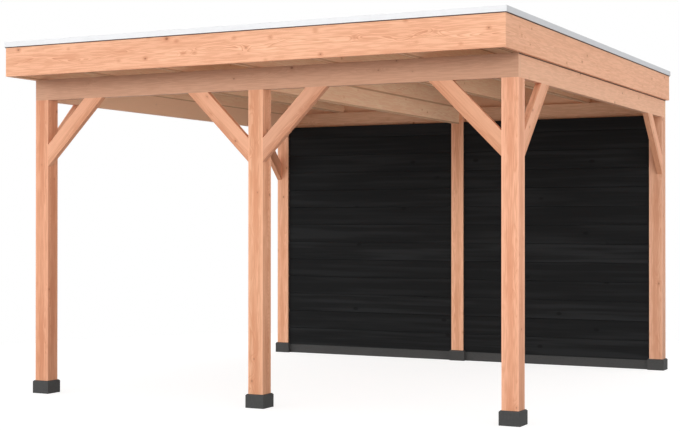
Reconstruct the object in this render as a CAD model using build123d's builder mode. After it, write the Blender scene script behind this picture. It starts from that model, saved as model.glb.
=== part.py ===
"""Flat-roofed timber carport with six posts and a boarded back wall.

Lengths are in millimetres. X runs along the front, Y from front to back, Z is up.
The origin is on the ground, under the middle of the roof.
"""

from build123d import *
import os

os.makedirs("parts", exist_ok=True)

# Plan of the posts, measured over their outer faces
frame_width = 4000.0
frame_depth = 4000.0
post_size = 120.0

# Concrete feet and the strip under the back wall
base_height = 100.0
base_margin = 15.0
base_chamfer = 8.0
sill_height = 86.0
sill_thickness = 60.0
sill_recess = 28.0

# Ring of beams let into the post heads
beam_underside = 2300.0
beam_height = 160.0
beam_thickness = 45.0

# Braces, cut at 45 degrees at both ends
brace_width = 120.0
brace_thickness = 45.0
brace_inner_leg = 350.0

# Roof
rafter_thickness = 45.0
rafter_height = 195.0
rafter_pitch = 645.0
rafter_shift = -16.0
inner_rafters = 5
deck_thickness = 18.0
sheet_thickness = 2.0
kerb_width = 45.0
kerb_height = 48.0
front_overhang = 323.0
fascia_thickness = 28.0

# Metal edge trim over the fascia
trim_face_height = 40.0
trim_gauge = 2.0
trim_proud = 10.0
trim_flange = 75.0

# Boarded back wall
wall_thickness = 28.0
wall_recess = 20.0
wall_lap = 18.0

# Planes and levels that several pieces share
half_width = frame_width / 2
roof_depth = front_overhang + frame_depth + fascia_thickness
front_y = front_overhang - roof_depth / 2
back_y = front_y + frame_depth
beam_top = beam_underside + beam_height
deck_underside = beam_top + rafter_height
sheet_underside = deck_underside + deck_thickness
kerb_top = sheet_underside + sheet_thickness + kerb_height
roof_front_y = front_y - front_overhang
roof_back_y = back_y + fascia_thickness
roof_half_width = half_width + fascia_thickness
fascia_height = kerb_top - beam_top

# Centres of the posts
post_columns = {
    "left": -half_width + post_size / 2,
    "middle": 0.0,
    "right": half_width - post_size / 2,
}
post_rows = {
    "front": front_y + post_size / 2,
    "back": back_y - post_size / 2,
}


def finish(part, name):
    """Label a piece and write it to its own file."""
    part.label = name
    export_step(part, f"parts/{name}.step")


def box_part(x_range, y_range, z_range):
    """Plain sawn piece between two places on each axis."""
    x_low, x_high = x_range
    y_low, y_high = y_range
    z_low, z_high = z_range
    centre = ((x_low + x_high) / 2, (y_low + y_high) / 2)
    with BuildPart() as piece:
        with BuildSketch(Plane.XY.offset(z_low)):
            with Locations(centre):
                Rectangle(x_high - x_low, y_high - y_low)
        extrude(amount=z_high - z_low)
    return piece.part


def base(x, y):
    """Concrete foot with a chamfered top edge."""
    side = post_size + 2 * base_margin
    with BuildPart() as foot:
        with BuildSketch():
            with Locations((x, y)):
                Rectangle(side, side)
        extrude(amount=base_height)
        top = foot.faces().sort_by(Axis.Z)[-1]
        chamfer(top.edges(), length=base_chamfer)
    return foot.part


def post(x, y):
    """Square post whose head is cut back to take the beams flush with its faces."""
    outward_y = -1 if y < 0 else 1
    with BuildPart() as upright:
        with BuildSketch(Plane.XY.offset(base_height)):
            with Locations((x, y)):
                Rectangle(post_size, post_size)
        extrude(amount=beam_top - base_height)
        # Seat for the beam along the front or the back
        with BuildSketch(Plane.XY.offset(beam_underside)):
            with Locations((x, y + outward_y * (post_size - beam_thickness) / 2)):
                Rectangle(post_size, beam_thickness)
        extrude(amount=beam_height, mode=Mode.SUBTRACT)
        # Seat for the side beam, or the fork that holds the middle beam
        if x == 0:
            seat_x = x
        else:
            seat_x = x + (1 if x > 0 else -1) * (post_size - beam_thickness) / 2
        with BuildSketch(Plane.XY.offset(beam_underside)):
            with Locations((seat_x, y)):
                Rectangle(beam_thickness, post_size)
        extrude(amount=beam_height, mode=Mode.SUBTRACT)
    return upright.part


def brace_outline():
    """Outline of a brace in the corner between a post face and a beam underside."""
    outer_leg = brace_inner_leg + brace_width * 2 ** 0.5
    with BuildLine() as outline:
        Polyline(
            (0, -brace_inner_leg),
            (brace_inner_leg, 0),
            (outer_leg, 0),
            (0, -outer_leg),
            close=True,
        )
    return outline.line


def brace(corner, along, inward):
    """Brace from a post to a beam.

    corner is where the post face meets the beam underside, along is the way from
    the post to the beam's middle, and inward is the way from the outer face.
    """
    plane = Plane(origin=corner, x_dir=along, z_dir=Vector(along).cross(Vector(0, 0, 1)))
    depth = brace_thickness * plane.z_dir.dot(Vector(inward))
    with BuildPart() as strut:
        with BuildSketch(plane):
            add(brace_outline())
            make_face()
        extrude(amount=depth)
    return strut.part


def mitred_fascia(side):
    """Fascia board whose ends are mitred into the next boards."""
    back_or_right = 1 if side in ("back", "right") else -1
    if side in ("front", "back"):
        inner_y = back_y if side == "back" else roof_front_y + fascia_thickness
        outer_y = inner_y + back_or_right * fascia_thickness
        corners = [
            (-half_width, inner_y),
            (half_width, inner_y),
            (roof_half_width, outer_y),
            (-roof_half_width, outer_y),
        ]
    else:
        inner_x = back_or_right * half_width
        outer_x = back_or_right * roof_half_width
        corners = [
            (inner_x, roof_front_y + fascia_thickness),
            (inner_x, back_y),
            (outer_x, roof_back_y),
            (outer_x, roof_front_y),
        ]
    with BuildPart() as board:
        with BuildSketch(Plane.XY.offset(beam_top)):
            with BuildLine():
                Polyline(*corners, close=True)
            make_face()
        extrude(amount=fascia_height)
    return board.part


def trim(side):
    """Folded metal edge: top flange, outer face and a lip back to the fascia, mitred at both ends."""
    across = {"front": (0, 1, 0), "back": (0, -1, 0), "left": (1, 0, 0), "right": (-1, 0, 0)}[side]
    start = {
        "front": (0, roof_front_y, kerb_top),
        "back": (0, roof_back_y, kerb_top),
        "left": (-roof_half_width, 0, kerb_top),
        "right": (roof_half_width, 0, kerb_top),
    }[side]
    half_length = roof_half_width if side in ("front", "back") else roof_depth / 2
    reach = half_length + trim_proud
    # In this plane x runs inwards from the fascia face and y runs up from its top
    profile_plane = Plane(origin=start, x_dir=across, z_dir=Vector(across).cross(Vector(0, 0, 1)))
    fall = trim_face_height - trim_gauge
    with BuildPart() as edge:
        with BuildSketch(profile_plane):
            with BuildLine():
                Polyline(
                    (-trim_proud, trim_gauge),
                    (trim_flange, trim_gauge),
                    (trim_flange, 0),
                    (-trim_proud + trim_gauge, 0),
                    (-trim_proud + trim_gauge, -fall + trim_gauge),
                    (0, -fall + trim_gauge),
                    (0, -fall),
                    (-trim_proud, -fall),
                    close=True,
                )
            make_face()
        extrude(amount=reach, both=True)
        for end in (-1, 1):
            along = Vector(profile_plane.z_dir) * end
            corner = Vector(start) + along * reach - Vector(across) * trim_proud
            mitre = Plane(origin=corner, x_dir=(0, 0, 1), z_dir=along + Vector(across))
            split(bisect_by=mitre, keep=Keep.BOTTOM)
    return edge.part


def roof_covering():
    """Rubber sheet on the deck, dressed up over a kerb along the edges."""
    sheet_length = roof_depth - 2 * fascia_thickness
    with BuildPart() as sheet:
        with BuildSketch(Plane.XY.offset(sheet_underside)):
            Rectangle(frame_width, sheet_length)
        extrude(amount=sheet_thickness + kerb_height)
        with BuildSketch(Plane.XY.offset(sheet_underside + sheet_thickness)):
            Rectangle(frame_width - 2 * kerb_width, sheet_length - 2 * kerb_width)
        extrude(amount=kerb_height, mode=Mode.SUBTRACT)
    return sheet.part


def wall(middle_x, outer_x):
    """Boarded panel between two post faces, cut out over the edges of the feet."""
    low_x = min(middle_x, outer_x)
    high_x = max(middle_x, outer_x)
    top = beam_underside + wall_lap
    plane = Plane(origin=(0, back_y - post_size + wall_recess, 0), x_dir=(1, 0, 0), z_dir=(0, -1, 0))
    with BuildPart() as panel:
        with BuildSketch(plane):
            with BuildLine():
                Polyline(
                    (low_x, top),
                    (low_x, base_height),
                    (low_x + base_margin, base_height),
                    (low_x + base_margin, sill_height),
                    (high_x - base_margin, sill_height),
                    (high_x - base_margin, base_height),
                    (high_x, base_height),
                    (high_x, top),
                    close=True,
                )
            make_face()
        extrude(amount=-wall_thickness)
    return panel.part


# Posts on their concrete feet
for row, y_centre in post_rows.items():
    for column, x_centre in post_columns.items():
        finish(base(x_centre, y_centre), f"base_{row}_{column}")
        finish(post(x_centre, y_centre), f"post_{row}_{column}")

# Beams: front and back run from corner to corner, the others fit between them
beam_z = (beam_underside, beam_top)
beam_inner_y = (front_y + beam_thickness, back_y - beam_thickness)
finish(box_part((-half_width, half_width), (front_y, front_y + beam_thickness), beam_z), "beam_front")
finish(box_part((-half_width, half_width), (back_y - beam_thickness, back_y), beam_z), "beam_back")
finish(box_part((-half_width, -half_width + beam_thickness), beam_inner_y, beam_z), "beam_left")
finish(box_part((half_width - beam_thickness, half_width), beam_inner_y, beam_z), "beam_right")
finish(box_part((-beam_thickness / 2, beam_thickness / 2), beam_inner_y, beam_z), "beam_middle")

# Braces in the front frame, flush with its outer face
to_right = (1, 0, 0)
to_left = (-1, 0, 0)
to_back = (0, 1, 0)
to_front = (0, -1, 0)
post_inner_x = half_width - post_size
post_half = post_size / 2
front_braces = {
    "brace_front_left": (-post_inner_x, to_right),
    "brace_front_middle_left": (-post_half, to_left),
    "brace_front_middle_right": (post_half, to_right),
    "brace_front_right": (post_inner_x, to_left),
}
for name, (x_corner, direction) in front_braces.items():
    finish(brace((x_corner, front_y, beam_underside), direction, to_back), name)

# Braces in the two side frames
side_braces = {
    "brace_left_front": (-half_width, front_y + post_size, to_back, to_right),
    "brace_left_back": (-half_width, back_y - post_size, to_front, to_right),
    "brace_right_front": (half_width, front_y + post_size, to_back, to_left),
    "brace_right_back": (half_width, back_y - post_size, to_front, to_left),
}
for name, (x_corner, y_corner, direction, inward) in side_braces.items():
    finish(brace((x_corner, y_corner, beam_underside), direction, inward), name)

# Rafters from the front fascia to the back one: one on each side beam, the others at an even pitch.
# The middle one is set a little to one side of the beam under it, so that beam's top edge shows.
rafter_places = [-half_width]
for number in range(inner_rafters):
    from_middle = (number - (inner_rafters - 1) / 2) * rafter_pitch
    rafter_places.append(from_middle + rafter_shift - rafter_thickness / 2)
rafter_places.append(half_width - rafter_thickness)
rafter_y = (roof_front_y + fascia_thickness, back_y)
for number, x_low in enumerate(rafter_places, start=1):
    rafter = box_part((x_low, x_low + rafter_thickness), rafter_y, (beam_top, deck_underside))
    finish(rafter, f"rafter_{number}")

# Roof boarding, sheet, fascia boards and metal edge
deck_y = (roof_front_y + fascia_thickness, back_y)
finish(box_part((-half_width, half_width), deck_y, (deck_underside, sheet_underside)), "roof_boarding")
finish(roof_covering(), "roof_covering")
for side in ("front", "back", "left", "right"):
    finish(mitred_fascia(side), f"fascia_{side}")
    finish(trim(side), f"trim_{side}")

# Back wall in two bays, each on its own strip between the feet
sill_front_y = back_y - post_size + sill_recess
sill_y = (sill_front_y, sill_front_y + sill_thickness)
for bay, side_x in (("left", -1), ("right", 1)):
    sill_x = sorted((side_x * (post_half + base_margin), side_x * (post_inner_x - base_margin)))
    finish(wall(side_x * post_half, side_x * post_inner_x), f"wall_{bay}")
    finish(box_part(sill_x, sill_y, (0, sill_height)), f"sill_{bay}")
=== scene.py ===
import math
import random

import bmesh
import bpy
from mathutils import Euler, Matrix, Vector


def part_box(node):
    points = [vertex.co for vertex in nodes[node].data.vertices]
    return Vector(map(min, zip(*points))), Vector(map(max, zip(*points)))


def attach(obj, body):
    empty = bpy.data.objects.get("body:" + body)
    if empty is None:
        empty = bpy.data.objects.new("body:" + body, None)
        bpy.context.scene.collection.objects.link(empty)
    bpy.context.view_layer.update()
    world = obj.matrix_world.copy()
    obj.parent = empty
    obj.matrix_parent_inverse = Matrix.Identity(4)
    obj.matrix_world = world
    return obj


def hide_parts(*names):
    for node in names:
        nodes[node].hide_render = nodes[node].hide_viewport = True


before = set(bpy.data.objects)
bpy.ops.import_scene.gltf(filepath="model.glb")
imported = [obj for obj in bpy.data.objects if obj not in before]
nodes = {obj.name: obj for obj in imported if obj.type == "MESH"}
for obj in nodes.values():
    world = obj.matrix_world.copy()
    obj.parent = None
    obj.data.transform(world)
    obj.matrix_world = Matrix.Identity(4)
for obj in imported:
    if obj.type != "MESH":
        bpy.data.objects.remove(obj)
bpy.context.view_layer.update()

# Camera, in metres, degrees and millimetres of lens, in the frame of the part
CAMERA_PLACE = (5.061, -10.517, 1.342)
CAMERA_YAW = 26.80
CAMERA_PITCH = 0.2835
CAMERA_ROLL = 0.018
CAMERA_LENS = 73.39
SENSOR_WIDTH = 36.0
CAMERA_REACH = 200

# Wood colours as linear values: light wood, late wood, knots
FASCIA_WOOD = ((0.92, 0.50, 0.315), (0.58, 0.195, 0.088), (0.30, 0.09, 0.04))
SIDE_FASCIA_WOOD = ((0.82, 0.445, 0.28), (0.70, 0.315, 0.172), (0.36, 0.13, 0.06))
POST_WOOD = ((0.83, 0.435, 0.276), (0.67, 0.27, 0.142), (0.30, 0.10, 0.05))
# Front beam wood, darker than the side beams: painted shade of the overhang
SHADED_FRONT_BEAM_WOOD = ((0.59, 0.33, 0.215), (0.535, 0.285, 0.175), (0.22, 0.08, 0.04))
SIDE_BEAM_WOOD = ((0.78, 0.435, 0.278), (0.72, 0.375, 0.225), (0.26, 0.09, 0.05))
# Inner wood, paler and more neutral: a paler timber for the inner pieces, and painted light for the
# shaded interior; also painted onto the inner faces
INNER_WOOD_WITH_PAINTED_LIGHT = ((0.96, 0.65, 0.445), (0.83, 0.475, 0.285), (0.36, 0.14, 0.08))
BRACE_WOOD = ((0.75, 0.385, 0.235), (0.60, 0.245, 0.126), (0.27, 0.09, 0.045))

# Single timbers that differ from their kind, as factors on the colour; beam_back and rafter_7 are
# darkened as painted shade
TINTS = {
    "post_front_left": (0.92, 0.87, 0.83),
    "post_front_middle": (0.95, 0.97, 0.94),
    "post_back_left": (1.07, 1.11, 1.10),
    "post_back_middle": (1.05, 1.11, 1.10),
    "post_back_right": (0.88, 0.94, 0.97),
    # Back beam deep under the roof and rafter_7 in the overhang's corner: darkened as painted shade
    "beam_back": (0.84, 0.79, 0.78),
    "rafter_7": (0.60, 0.54, 0.50),
    "brace_front_middle_right": (0.86, 0.86, 0.87),
    "brace_front_right": (0.93, 0.91, 0.88),
}

# Other colours as linear values: light, dark
BLACK_STAIN = ((0.0106, 0.0112, 0.0118), (0.0051, 0.0055, 0.0059))
CONCRETE = ((0.066, 0.066, 0.0655), (0.047, 0.047, 0.0465))
RUBBER = ((0.022, 0.022, 0.024), (0.014, 0.014, 0.015))
METAL = ((0.83, 0.835, 0.85), (0.80, 0.805, 0.82))
# Side edge metal, darker than the front edge metal: painted shade
SHADED_SIDE_METAL = ((0.60, 0.61, 0.63), (0.57, 0.58, 0.60))
# Colour of the dark strips that stand for shadow lines: painted shade
SHADOW_STRIP_COLOUR = ((0.075, 0.042, 0.03), (0.05, 0.03, 0.022))

# The palest that a wood colour is made
PALEST = 0.97

# Strengths of the world's light panels, white seen by the camera being 1
CEILING_LIGHT = 0.76
FRONT_LIGHT = 3.6
LOW_SIDE_LIGHT = 2.2
HIGH_SIDE_LIGHT = 0.55

# Floor: its greys for the light that it throws back, then its grey and its glow where it is seen
FLOOR_RADIUS = 5.2
FLOOR_GREYS = (0.48, 0.51)
FLOOR_SEEN_GREY = 0.36
FLOOR_SEEN_GLOW = 0.80

# Wood grain: width of a growth ring, how thin its dark part is, and noise scales along and across
RING = 0.0052
RING_SHARPNESS = 3.2
FIBRE_SCALE = (2.2, 160, 160)
STREAK_SCALE = (7, 105, 105)
BAND_SCALE = (0.7, 13, 13)
CLOUD_SCALE = (1.8, 6, 6)

# Knots: how many to a metre, how much longer they are along the grain, and the spread of their sizes
KNOT_SCALE = 9.5
KNOT_STRETCH = (0.7, 1, 1)
KNOT_SIZES = 0.05

# Pith line: its slow wander, its waves along the piece, its small tremble, and where it lies
WANDER_SCALE = 0.9
WANDER_REACH = (0, 0.09, 0.03)
WAVE_RATE = 7.5
WAVE_IRREGULARITY = 14.0
WAVE_HEIGHT = 0.021
TREMBLE_SCALE = (4, 22, 22)
TREMBLE_REACH = (0, 0.007, 0.007)
PITH_ASIDE = 0.03
PITH_DEPTHS = (0.02, 0.05)

# How far apart the pieces lie in the noise, so that no two have the same grain
DRIFT = 40
BOARD_DRIFT = 37.0

# Depth at which the painted light on an inner face, and the unshaded colour of a cut end, begin and are
# full
FACE_SKIN = (0.0012, 0.0004)

# Eased edges of the timbers
POST_EDGE = 0.005
BRACE_EDGE = 0.004
BEAM_EDGE = 0.003
FASCIA_EDGE = 0.002

# Half the section of a brace: its thickness and its width
BRACE_HALF = (0.0225, 0.06)

# Boards of the back wall and of the roof
WALL_PITCH = 0.1765
WALL_FIRST_JOINT = 0.2595
BOARD_GAP = 0.0022
FOOT_CLEARANCE = 0.0005
TONGUE_HALF = 0.003
TONGUE_BELOW = 0.007
TONGUE_ABOVE = 0.004
TONGUE_INSET = 0.001
LEAST_BOARD = 0.01
ROOF_BOARD_COUNT = 30
ROOF_BOARD_GAP = 0.0016

# Roof sheet: its thickness, how far in the kerb round it reaches, and the laps between its lengths
SHEET_THICKNESS = 0.002
KERB_REACH = 0.046
LAP_PLACES = (-1.0, 0.0, 1.0)
LAP_HALF = 0.02
LAP_THICKNESS = 0.0018

# Dark strips that paint shade: under the metal edge, and along the top of the side beams
EDGE_SHADOW_STRIP_SIZE = 0.005
BEAM_SHADOW_STRIP_OUT = 0.0012
BEAM_SHADOW_STRIP_HEIGHT = 0.007
BEAM_SHADOW_STRIP_SETBACK = 0.0015

# Turns that lay the grain along each axis
ALONG_X = (0, 0, 0)
ALONG_Y = (0, 0, -math.pi / 2)
ALONG_Z = (0, math.pi / 2, 0)

# For each brace, the axis of its frame, and 1 where it rises along that axis
BRACE_RISES = {
    "brace_front_left": (ALONG_X, 1),
    "brace_front_middle_right": (ALONG_X, 1),
    "brace_front_middle_left": (ALONG_X, -1),
    "brace_front_right": (ALONG_X, -1),
    "brace_left_front": (ALONG_Y, 1),
    "brace_right_front": (ALONG_Y, 1),
    "brace_left_back": (ALONG_Y, -1),
    "brace_right_back": (ALONG_Y, -1),
}


class Tree:
    """Short way to add nodes to a material or to the world."""

    def __init__(self, name, tree=None):
        if tree is None:
            self.material = bpy.data.materials.new(name)
            self.material.use_nodes = True
            tree = self.material.node_tree
            self.shader = tree.nodes["Principled BSDF"]
        self.tree = tree

    def node(self, kind, inputs=None, **settings):
        made = self.tree.nodes.new(kind)
        for key, value in settings.items():
            setattr(made, key, value)
        for key, value in (inputs or {}).items():
            self.feed(made.inputs[key], value)
        return made

    def feed(self, socket, value):
        if isinstance(value, bpy.types.NodeSocket):
            self.tree.links.new(value, socket)
        else:
            socket.default_value = value

    def place(self, kind="Object"):
        return self.node("ShaderNodeTexCoord").outputs[kind]

    def split(self, vector):
        return self.node("ShaderNodeSeparateXYZ", {0: vector}).outputs

    def join(self, x=0.0, y=0.0, z=0.0):
        return self.node("ShaderNodeCombineXYZ", {0: x, 1: y, 2: z}).outputs[0]

    def math(self, operation, a, b=0.0, c=0.0):
        return self.node("ShaderNodeMath", {0: a, 1: b, 2: c}, operation=operation).outputs[0]

    def vector(self, operation, a, b=(0, 0, 0)):
        made = self.node("ShaderNodeVectorMath", {0: a, 1: b}, operation=operation)
        return made.outputs["Value" if operation == "LENGTH" else "Vector"]

    def mix(self, factor, a, b):
        made = self.node("ShaderNodeMix", data_type="RGBA")
        for socket, value in ((made.inputs[0], factor), (made.inputs[6], a), (made.inputs[7], b)):
            if isinstance(value, tuple):
                value = (*value, 1)
            self.feed(socket, value)
        return made.outputs[2]

    def noise(self, place, scale, detail=2.0, roughness=0.5):
        values = {"Vector": place, "Scale": scale, "Detail": detail, "Roughness": roughness}
        return self.node("ShaderNodeTexNoise", values).outputs[0]

    def stretched_noise(self, place, scales, detail=2.0, roughness=0.5):
        return self.noise(self.vector("MULTIPLY", place, scales), 1.0, detail, roughness)

    def noise_colour(self, place, scale, detail=2.0):
        values = {"Vector": place, "Scale": scale, "Detail": detail}
        return self.node("ShaderNodeTexNoise", values).outputs["Color"]

    def centred(self, colour, reach):
        """Noise colour as a shift about zero, with its own reach on each axis."""
        return self.vector("MULTIPLY", self.vector("SUBTRACT", colour, (0.5, 0.5, 0.5)), reach)

    def step(self, value, low, high, to_low=0.0, to_high=1.0):
        """Smooth step from low to high."""
        values = {"Value": value, "From Min": low, "From Max": high, "To Min": to_low, "To Max": to_high}
        return self.node("ShaderNodeMapRange", values, interpolation_type="SMOOTHSTEP").outputs[0]

    def bump(self, height, strength, distance):
        values = {"Height": height, "Strength": strength, "Distance": distance}
        self.feed(self.shader.inputs["Normal"], self.node("ShaderNodeBump", values).outputs[0])

    def background_rays(self):
        """1 for the rays that show the floor and the world as white: camera, glossy and transmission."""
        path = self.node("ShaderNodeLightPath").outputs
        mirrored = self.math("MAXIMUM", path["Is Glossy Ray"], path["Is Transmission Ray"])
        return self.math("MAXIMUM", path["Is Camera Ray"], mirrored)


def scaled(colour, factors):
    return tuple(a * b for a, b in zip(colour, factors))


def blended(first, second, share):
    return tuple(a * (1 - share) + b * share for a, b in zip(first, second))


def lifted(colour, factor, lift):
    return tuple(min(PALEST, c * factor + lift) for c in colour)


def within_board(t, place, pitch):
    """Place on one of many boards laid side by side, each shifted along so that its grain is its own."""
    x, y, z = t.split(place)
    across = t.math("DIVIDE", y, pitch)
    index = t.math("FLOOR", across)
    chance = t.node("ShaderNodeTexWhiteNoise", {"W": index}, noise_dimensions="1D").outputs["Value"]
    x = t.math("MULTIPLY_ADD", chance, BOARD_DRIFT, x)
    y = t.math("MULTIPLY", t.math("SUBTRACT", t.math("FRACT", across), 0.5), pitch)
    return t.join(x, y, z)


def knot_fields(t, moved, darkness):
    """Three fields round the knots, each wider than the one before: core, collar and halo."""
    stretched = t.vector("MULTIPLY", moved, KNOT_STRETCH)
    spots = t.node("ShaderNodeTexVoronoi", {"Vector": stretched, "Scale": KNOT_SCALE})
    chance = t.node("ShaderNodeSeparateColor", {0: spots.outputs["Color"]}).outputs[0]
    near = t.math("SUBTRACT", spots.outputs["Distance"], t.math("MULTIPLY", chance, KNOT_SIZES))
    core = t.step(near, 0.01, 0.06, darkness, 0.0)
    collar = t.step(near, 0.04, 0.2, 1.0, 0.0)
    halo = t.step(near, 0.04, 0.38, 1.0, 0.0)
    return core, collar, halo


def growth_rings(t, place, moved, pith, halo):
    """Dark late wood of the rings round a pith line that wanders along the piece and round the knots."""
    along = t.vector("MULTIPLY", moved, (1, 0, 0))
    slow = t.noise_colour(along, WANDER_SCALE, 1.0)
    irregular = t.node("ShaderNodeSeparateColor", {0: slow}).outputs[0]
    irregular = t.math("MULTIPLY", irregular, WAVE_IRREGULARITY)
    wave = t.math("SINE", t.math("MULTIPLY_ADD", t.split(along)[0], WAVE_RATE, irregular))
    wave = t.join(z=t.math("MULTIPLY", wave, WAVE_HEIGHT))
    wander = t.vector("ADD", t.centred(slow, WANDER_REACH), wave)
    quick = t.noise_colour(t.vector("MULTIPLY", moved, TREMBLE_SCALE), 1.0)
    tremble = t.centred(quick, TREMBLE_REACH)
    section = t.vector("ADD", t.vector("ADD", place, wander), tremble)
    section = t.vector("MULTIPLY", section, (0, 1, 1))
    radius = t.vector("LENGTH", t.vector("ADD", section, pith))
    ring = t.math("FRACT", t.math("MULTIPLY_ADD", radius, 1 / RING, t.math("MULTIPLY", halo, 1.3)))
    return t.math("MULTIPLY", t.math("POWER", ring, RING_SHARPNESS), t.step(ring, 1.0, 0.88))


def wood(
    name, centre, turn, colours, seed,
    half=(0, 0), heart=0.0, painted_edge_light_shade=0.0, knots=0.75, boards=0.0, inside=0, ends=0.0,
):
    """Planed softwood: growth rings, streaks, fibres and small knots.

    half is half the section, heart reddens the middle of each face, painted_edge_light_shade paints a
    highlight on the edges, and painted shade where it is below 0, and knots is how dark the knots are.
    boards is the pitch of separate boards. inside, 1 or -1, is the side whose face is paled as painted
    light. ends is the half length beyond which the ends keep the side beam colour, free of the darker
    beam wood's painted shade.
    """
    rng = random.Random(seed)
    tint = TINTS.get(name, (1, 1, 1))
    light, late, knot_colour = (scaled(colour, tint) for colour in colours)
    t = Tree(name)
    values = {"Vector": t.vector("SUBTRACT", t.place(), centre), "Rotation": turn}
    place = t.node("ShaderNodeVectorRotate", values, rotation_type="EULER_XYZ").outputs[0]
    if boards:
        place = within_board(t, place, boards)
    drift = tuple(rng.uniform(-DRIFT, DRIFT) for _ in range(3))
    moved = t.vector("ADD", place, drift)
    core, collar, halo = knot_fields(t, moved, knots)
    aside = rng.uniform(-PITH_ASIDE, PITH_ASIDE)
    pith = (0, aside, rng.choice((-1, 1)) * rng.uniform(*PITH_DEPTHS))
    late_wood = growth_rings(t, place, moved, pith, halo)

    # Streaks, broad bands and rings over the light wood
    fibre = t.stretched_noise(moved, FIBRE_SCALE, 3.0, 0.6)
    streak = t.stretched_noise(moved, STREAK_SCALE, 1.0, 0.6)
    band = t.stretched_noise(moved, BAND_SCALE)
    cloud = t.stretched_noise(moved, CLOUD_SCALE)
    colour = t.mix(t.step(streak, 0.40, 0.60), blended(light, late, 0.2), lifted(light, 1.07, 0.01))
    colour = t.mix(t.step(band, 0.40, 0.68, 0.0, 0.2), colour, late)
    colour = t.mix(t.math("MULTIPLY", late_wood, t.step(cloud, 0.3, 0.65, 0.5, 1.0)), colour, late)

    # Redder heart along the middle of each face, then lighter edges as painted highlight, darker edges as
    # painted shade
    x, y, z = t.split(t.vector("ABSOLUTE", place))
    if heart:
        inward = t.math("MINIMUM", t.math("DIVIDE", y, half[0]), t.math("DIVIDE", z, half[1]))
        inward = t.math("MULTIPLY_ADD", t.math("SUBTRACT", streak, 0.5), 0.9, inward)
        reach = t.math("MULTIPLY", t.step(inward, 0.62, 0.18), t.step(cloud, 0.3, 0.6, 0.25, 1.0))
        colour = t.mix(t.math("MULTIPLY", reach, heart), colour, late)
    # Lighter edges are a painted highlight, darker edges are painted shade
    if painted_edge_light_shade:
        edge = t.math("MAXIMUM", t.math("SUBTRACT", half[0], y), t.math("SUBTRACT", half[1], z))
        painted_rim = lifted(light, 1.12, 0.03) if painted_edge_light_shade > 0 else scaled(late, (0.42, 0.32, 0.26))
        colour = t.mix(t.step(edge, 0.013, 0.006, 0.0, abs(painted_edge_light_shade)), colour, painted_rim)

    # Knots over the grain, then the inner face paled as painted light, and the ends in the side beam
    # colour without the beam's painted shade
    colour = t.mix(t.math("MULTIPLY", collar, 0.6 * knots), colour, late)
    colour = t.mix(core, colour, knot_colour)
    begins, full = FACE_SKIN
    # Inner face paled towards the inner wood colour: painted light
    if inside:
        depth = t.math("MULTIPLY", t.split(place)[1], inside)
        colour = t.mix(t.step(depth, half[0] - begins, half[0] - full, 0.0, 0.75), colour, INNER_WOOD_WITH_PAINTED_LIGHT[0])
    # Ends of the darkened front beam keep the side beam colour, where the painted shade stops
    if ends:
        colour = t.mix(t.step(x, ends - begins, ends - full, 0.0, 0.9), colour, SIDE_BEAM_WOOD[0])
    t.feed(t.shader.inputs["Base Color"], colour)
    t.feed(t.shader.inputs["Roughness"], t.step(fibre, 0.2, 0.8, 0.55, 0.68))
    t.shader.inputs["Specular IOR Level"].default_value = 0.0 if colours == INNER_WOOD_WITH_PAINTED_LIGHT else 0.25
    t.bump(t.math("MULTIPLY_ADD", late_wood, 0.6, t.math("MULTIPLY", fibre, 0.5)), 0.35, 0.0005)
    return t.material


def stained_boards(name):
    """Black stained wall boards, each a little different, with faint streaks and knots."""
    t = Tree(name)
    place = t.place()
    height = t.math("SUBTRACT", t.split(place)[2], WALL_FIRST_JOINT)
    index = t.math("FLOOR", t.math("DIVIDE", height, WALL_PITCH))
    chance = t.node("ShaderNodeTexWhiteNoise", {"W": index}, noise_dimensions="1D")
    moved = t.vector("ADD", place, t.vector("MULTIPLY", chance.outputs["Color"], (40, 7, 3)))
    grain = t.stretched_noise(moved, (2.0, 60, 60), 3.0, 0.6)
    bands = t.stretched_noise(moved, (0.9, 5, 21))
    stretched = t.vector("MULTIPLY", moved, (0.6, 1, 1))
    spots = t.node("ShaderNodeTexVoronoi", {"Vector": stretched, "Scale": 5.0})
    knot = t.step(spots.outputs["Distance"], 0.05, 0.11, 1.0, 0.0)
    light, dark = BLACK_STAIN
    colour = t.mix(t.step(grain, 0.3, 0.7), dark, light)
    colour = t.mix(t.step(bands, 0.42, 0.68, 0.0, 0.68), colour, scaled(light, (2.0, 2.0, 2.0)))
    colour = t.mix(t.math("MULTIPLY", chance.outputs["Value"], 0.5), colour, dark)
    colour = t.mix(t.math("MULTIPLY", knot, 0.8), colour, scaled(dark, (0.5, 0.5, 0.5)))
    t.feed(t.shader.inputs["Base Color"], colour)
    t.feed(t.shader.inputs["Roughness"], t.step(grain, 0.2, 0.8, 0.6, 0.78))
    t.shader.inputs["Specular IOR Level"].default_value = 0.13
    t.bump(t.math("SUBTRACT", grain, knot), 0.4, 0.0008)
    return t.material


def mottled(name, colours, scale, roughness, bump, distance):
    """Fine-grained even material: concrete, rubber sheet, painted metal, and the dark strips of painted
    shade.
    """
    t = Tree(name)
    place = t.place()
    fine = t.noise(place, scale, 4.0, 0.65)
    broad = t.noise(place, scale * 0.06, 3.0)
    both = t.math("ADD", t.math("MULTIPLY", fine, 0.6), t.math("MULTIPLY", broad, 0.4))
    light, dark = colours
    t.feed(t.shader.inputs["Base Color"], t.mix(t.step(both, 0.35, 0.65), dark, light))
    t.feed(t.shader.inputs["Roughness"], t.step(both, 0.3, 0.7, roughness - 0.06, roughness + 0.06))
    t.bump(fine, bump, distance)
    return t.material


def soften(obj, width):
    """Round the edges of an object a little."""
    bevel = obj.modifiers.new("edges", "BEVEL")
    bevel.width = width
    bevel.segments = 2
    bevel.limit_method = "ANGLE"
    bevel.angle_limit = math.radians(35)


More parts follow.
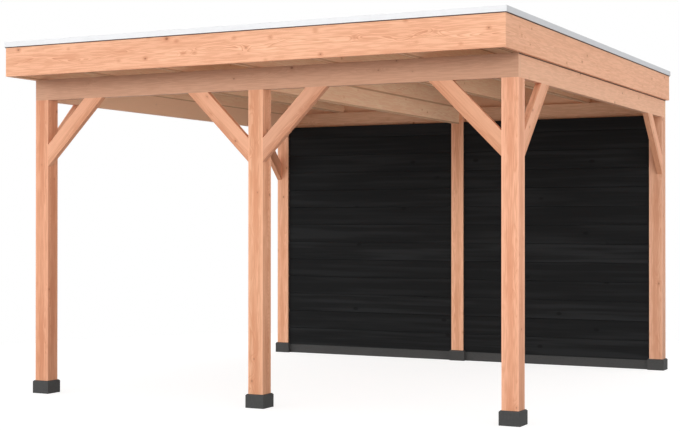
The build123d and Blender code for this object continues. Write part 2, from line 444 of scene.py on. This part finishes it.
def dress(node, material, edge):
    """Give a carried-over node its material and slightly rounded edges."""
    mesh = nodes[node].data
    mesh.materials.clear()
    mesh.materials.append(material)
    soften(nodes[node], edge)


def prism(mesh, outline, low, high, axis):
    """Add a solid whose outline lies across one axis and runs from low to high along it."""
    rings = []
    for place in (low, high):
        ring = []
        for a, b in outline:
            spot = {0: (place, a, b), 1: (a, place, b), 2: (a, b, place)}[axis]
            ring.append(mesh.verts.new(spot))
        rings.append(ring)
    first, second = rings
    mesh.faces.new(first)
    mesh.faces.new(tuple(reversed(second)))
    for i in range(len(first)):
        j = (i + 1) % len(first)
        mesh.faces.new((first[j], first[i], second[i], second[j]))


def box(mesh, low, high):
    """Add a box between two corners."""
    outline = [(low[1], low[2]), (high[1], low[2]), (high[1], high[2]), (low[1], high[2])]
    prism(mesh, outline, low[0], high[0], 0)


def piece(name, mesh, material, edge=0.0, instead_of=()):
    """Make a mesh into a piece that rides on the frame, in place of the nodes it stands for."""
    data = bpy.data.meshes.new(name)
    bmesh.ops.recalc_face_normals(mesh, faces=mesh.faces)
    mesh.to_mesh(data)
    mesh.free()
    obj = bpy.data.objects.new(name, data)
    bpy.context.scene.collection.objects.link(obj)
    data.materials.append(material)
    if edge:
        soften(obj, edge)
    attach(obj, "root")
    if instead_of:
        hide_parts(*instead_of)


def middle(node):
    low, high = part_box(node)
    return tuple((a + b) / 2 for a, b in zip(low, high))


def half_size(node):
    low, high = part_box(node)
    return tuple((b - a) / 2 for a, b in zip(low, high))


def half_section(node, turn):
    """Half the thickness of a straight piece on the two axes across its grain."""
    x, y, z = half_size(node)
    return {ALONG_X: (y, z), ALONG_Y: (x, z), ALONG_Z: (y, x)}[turn]


def brace_turn(name):
    """Turn that lays the sloping length of a brace along X."""
    flat, sign = BRACE_RISES[name]
    first = Euler(flat, "XYZ").to_matrix()
    second = Matrix.Rotation(sign * math.radians(45), 3, "Y")
    return tuple((second @ first).to_euler("XYZ"))


def dress_timber():
    """Posts, beams, braces, rafters and fascia boards, each with grain along its own length."""
    for number, name in enumerate(sorted(nodes)):
        kind = name.split("_")[0]
        seed = 100 + number * 7
        sideways = name.endswith(("_left", "_right"))
        look = {}
        if kind == "post":
            turn, colours, edge = ALONG_Z, POST_WOOD, POST_EDGE
            # Lighter post edges: painted highlight
            look = {"heart": 0.6, "painted_edge_light_shade": 0.5, "knots": 0.6}
        elif kind == "beam":
            turn, edge = ALONG_Y if sideways or name == "beam_middle" else ALONG_X, BEAM_EDGE
            # Middle and back beams take the paler inner wood, partly painted light
            colours = SIDE_BEAM_WOOD if sideways else INNER_WOOD_WITH_PAINTED_LIGHT
            look = {"knots": 0.7}
            # The front beam's darker wood is painted shade from the overhang; its ends keep the side beam
            # colour
            if name == "beam_front":
                colours = SHADED_FRONT_BEAM_WOOD
                look["ends"] = half_size(name)[0]
            # Darker edges of the middle beam: painted shade
            if name == "beam_middle":
                look["painted_edge_light_shade"] = -0.5
            # Inner faces of the front and side beams paled: painted light
            look["inside"] = {"beam_front": 1, "beam_left": -1, "beam_right": 1}.get(name, 0)
        elif kind == "rafter":
            # Rafters take the paler inner wood, partly painted light
            turn, colours, edge = ALONG_Y, INNER_WOOD_WITH_PAINTED_LIGHT, BEAM_EDGE
            # Darker rafter edges: painted shade
            look = {"painted_edge_light_shade": -0.5, "knots": 0.35}
        elif kind == "fascia":
            turn, edge = ALONG_Y if sideways else ALONG_X, FASCIA_EDGE
            colours = SIDE_FASCIA_WOOD if sideways else FASCIA_WOOD
            # Inner face of the fascia boards paled: painted light
            look["inside"] = 1 if name in ("fascia_front", "fascia_right") else -1
        elif kind == "brace":
            turn, colours, edge = brace_turn(name), BRACE_WOOD, BRACE_EDGE
            # Lighter brace edges: painted highlight
            look = {"heart": 0.5, "painted_edge_light_shade": 0.5}
        else:
            continue
        half = BRACE_HALF if kind == "brace" else half_section(name, turn)
        dress(name, wood(name, middle(name), turn, colours, seed, half, **look), edge)


def wall_boards(bay):
    """Horizontal boards with open joints, and a tongue behind each joint."""
    low, high = (Vector(c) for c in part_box(f"wall_{bay}"))
    foot_side, _, foot_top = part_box("base_back_middle")[1]
    notch_top = foot_top + FOOT_CLEARANCE
    inset = foot_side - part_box("post_back_middle")[1][0] + FOOT_CLEARANCE
    joints = [low.z]
    joint = WALL_FIRST_JOINT
    while joint < high.z - LEAST_BOARD:
        joints.append(joint)
        joint += WALL_PITCH
    joints.append(high.z)
    deep = (low.y + high.y) / 2
    boards = bmesh.new()
    for i, (bottom, top) in enumerate(zip(joints, joints[1:])):
        bottom += BOARD_GAP / 2 if i else 0
        top -= BOARD_GAP / 2 if i < len(joints) - 2 else 0
        if i == 0:
            # The lowest board is cut out over the edges of the feet
            outline = [
                (low.x + inset, bottom), (high.x - inset, bottom), (high.x - inset, notch_top),
                (high.x, notch_top), (high.x, top), (low.x, top), (low.x, notch_top),
                (low.x + inset, notch_top),
            ]
        else:
            outline = [(low.x, bottom), (high.x, bottom), (high.x, top), (low.x, top)]
        prism(boards, outline, low.y, high.y, 1)
        if i:
            near = (low.x + TONGUE_INSET, deep - TONGUE_HALF, bottom - TONGUE_BELOW)
            far = (high.x - TONGUE_INSET, deep + TONGUE_HALF, bottom + TONGUE_ABOVE)
            box(boards, near, far)
    name = f"wall_boards_{bay}"
    piece(name, boards, stained_boards(name), 0.0025, (f"wall_{bay}",))


def roof_boards():
    """Roof boarding laid across the rafters."""
    low, high = (Vector(c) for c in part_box("roof_boarding"))
    pitch = (high.y - low.y) / ROOF_BOARD_COUNT
    boards = bmesh.new()
    for i in range(ROOF_BOARD_COUNT):
        front = low.y + i * pitch + (ROOF_BOARD_GAP / 2 if i else 0)
        back = low.y + (i + 1) * pitch - (ROOF_BOARD_GAP / 2 if i < ROOF_BOARD_COUNT - 1 else 0)
        box(boards, (low.x, front, low.z), (high.x, back, high.z))
    centre = ((low.x + high.x) / 2, (low.y + high.y) / 2, low.z)
    # Roof boards take the paler inner wood, partly painted light
    material = wood("roof_boards", centre, ALONG_X, INNER_WOOD_WITH_PAINTED_LIGHT, 991, knots=0.5, boards=pitch)
    piece("roof_boards", boards, material, 0.002, ("roof_boarding",))


def roof_laps():
    """Welded laps between the lengths of roof sheet."""
    low, high = (Vector(c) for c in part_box("roof_covering"))
    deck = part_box("roof_boarding")[1][2] + SHEET_THICKNESS
    laps = bmesh.new()
    for x in LAP_PLACES:
        near = (x - LAP_HALF, low.y + KERB_REACH, deck)
        box(laps, near, (x + LAP_HALF, high.y - KERB_REACH, deck + LAP_THICKNESS))
    return laps


def edge_shadow_strip():
    """Dark strip in the corner between the fascia boards and the metal edge above them: painted shade for
    the shadow line there.
    """
    low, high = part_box("fascia_front")
    back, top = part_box("fascia_back")[1][1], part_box("trim_front")[0][2]
    out, bottom = EDGE_SHADOW_STRIP_SIZE, top - EDGE_SHADOW_STRIP_SIZE
    made = bmesh.new()
    box(made, (low[0], low[1] - out, bottom), (high[0], low[1], top))
    box(made, (low[0], back, bottom), (high[0], back + out, top))
    for near, far in ((low[0] - out, low[0]), (high[0], high[0] + out)):
        box(made, (near, low[1] - out, bottom), (far, back + out, top))
    return made


def beam_shadow_strip():
    """Dark strip along the top of the two side beams, under the overhanging fascia boards: painted shade
    for the shadow line there.
    """
    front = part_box("beam_front")[0][1] + BEAM_SHADOW_STRIP_SETBACK
    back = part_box("beam_back")[1][1] - BEAM_SHADOW_STRIP_SETBACK
    made = bmesh.new()
    for side in ("left", "right"):
        low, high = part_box(f"beam_{side}")
        near, far = low[0] - BEAM_SHADOW_STRIP_OUT, low[0]
        if side == "right":
            near, far = high[0], high[0] + BEAM_SHADOW_STRIP_OUT
        box(made, (near, front, high[2] - BEAM_SHADOW_STRIP_HEIGHT), (far, back, high[2]))
    return made


def dress_rest():
    """Feet and sills, metal edges, roof sheet, and the pieces that the frame doesn't have."""
    concrete = mottled("concrete", CONCRETE, 70, 0.85, 0.3, 0.001)
    metal = mottled("edge_metal", METAL, 30, 0.5, 0.03, 0.0003)
    shaded_side_metal = mottled("shaded_side_edge_metal", SHADED_SIDE_METAL, 30, 0.5, 0.03, 0.0003)
    shadow_strip = mottled("shadow_strip", SHADOW_STRIP_COLOUR, 120, 0.8, 0.2, 0.0005)
    rubber = mottled("roof_sheet", RUBBER, 90, 0.75, 0.25, 0.0006)
    for name in nodes:
        if name.startswith(("base_", "sill_")):
            dress(name, concrete, 0.002)
        elif name.startswith("trim_"):
            # The side edges take the darker metal: painted shade
            dress(name, shaded_side_metal if name in ("trim_left", "trim_right") else metal, 0.0008)
    dress("roof_covering", rubber, 0.002)
    wall_boards("left")
    wall_boards("right")
    roof_boards()
    piece("roof_sheet_laps", roof_laps(), rubber)
    # Dark strips that stand for shadow lines: painted shade
    piece("edge_shadow_strip", edge_shadow_strip(), shadow_strip)
    piece("beam_shadow_strip", beam_shadow_strip(), shadow_strip)


def floor():
    """Plain pale floor that keeps the shadow and looks white from the camera."""
    bpy.ops.mesh.primitive_circle_add(vertices=96, radius=FLOOR_RADIUS, fill_type="NGON")
    ground = bpy.context.object
    ground.name = "floor"
    t = Tree("floor")
    t.tree.nodes.remove(t.shader)
    seen = t.background_rays()
    grey = t.step(t.noise(t.place(), 3.0), 0.2, 0.8, *FLOOR_GREYS)
    grey = t.node("ShaderNodeCombineColor", {0: grey, 1: grey, 2: grey}).outputs[0]
    colour = t.mix(seen, grey, (FLOOR_SEEN_GREY, FLOOR_SEEN_GREY, FLOOR_SEEN_GREY))
    matt = t.node("ShaderNodeBsdfDiffuse", {"Color": colour})
    strength = t.math("MULTIPLY", seen, FLOOR_SEEN_GLOW)
    glow = t.node("ShaderNodeEmission", {"Color": (1, 1, 1, 1), "Strength": strength})
    both = t.node("ShaderNodeAddShader", {0: matt.outputs[0], 1: glow.outputs[0]})
    t.tree.links.new(both.outputs[0], t.tree.nodes["Material Output"].inputs["Surface"])
    ground.data.materials.append(t.material)


def camera():
    """Camera at the photograph's angle, level and near eye height."""
    data = bpy.data.cameras.new("camera")
    data.lens = CAMERA_LENS
    data.sensor_width = SENSOR_WIDTH
    data.sensor_fit = "HORIZONTAL"
    data.clip_end = CAMERA_REACH
    obj = bpy.data.objects.new("camera", data)
    bpy.context.scene.collection.objects.link(obj)
    obj.location = CAMERA_PLACE
    turn = Euler((math.radians(90 + CAMERA_PITCH), 0, math.radians(CAMERA_YAW)), "XYZ").to_matrix()
    roll = Euler((0, 0, math.radians(CAMERA_ROLL)), "XYZ").to_matrix()
    obj.rotation_euler = (turn @ roll).to_euler()
    bpy.context.scene.camera = obj


def lights():
    """Soft studio light from the world: a pale ceiling, a broad panel in front, panels at both sides."""
    world = bpy.data.worlds.new("world")
    bpy.context.scene.world = world
    world.use_nodes = True
    t = Tree("world", world.node_tree)
    back = t.tree.nodes["Background"]
    # Direction from the object: x to the right, y away from the front, z up, each from -1 to 1
    x, y, z = t.split(t.place("Generated"))
    above = t.math("MULTIPLY", t.step(z, -0.02, 0.06), t.step(z, 0.45, 0.2))
    below = t.math("MULTIPLY", t.step(z, 0.02, -0.05), t.step(z, -0.42, -0.28))
    beside = t.step(t.math("ABSOLUTE", x), 0.1, 0.9)
    panels = (
        (t.step(z, 0.0, 0.7), CEILING_LIGHT),
        (t.math("MULTIPLY", above, t.step(y, -0.1, -0.9)), FRONT_LIGHT),
        (t.math("MULTIPLY", below, beside), LOW_SIDE_LIGHT),
        (t.math("MULTIPLY", above, beside), HIGH_SIDE_LIGHT),
    )
    total = 0.0
    for panel, strength in panels:
        total = t.math("MULTIPLY_ADD", panel, strength, total)
    strength = t.node("ShaderNodeMix", {0: t.background_rays(), 2: total, 3: 1.0}).outputs[0]
    t.feed(back.inputs["Strength"], strength)
    back.inputs["Color"].default_value = (1, 1, 1, 1)


dress_timber()
dress_rest()
floor()
camera()
lights()
bpy.context.scene.view_settings.view_transform = "Standard"
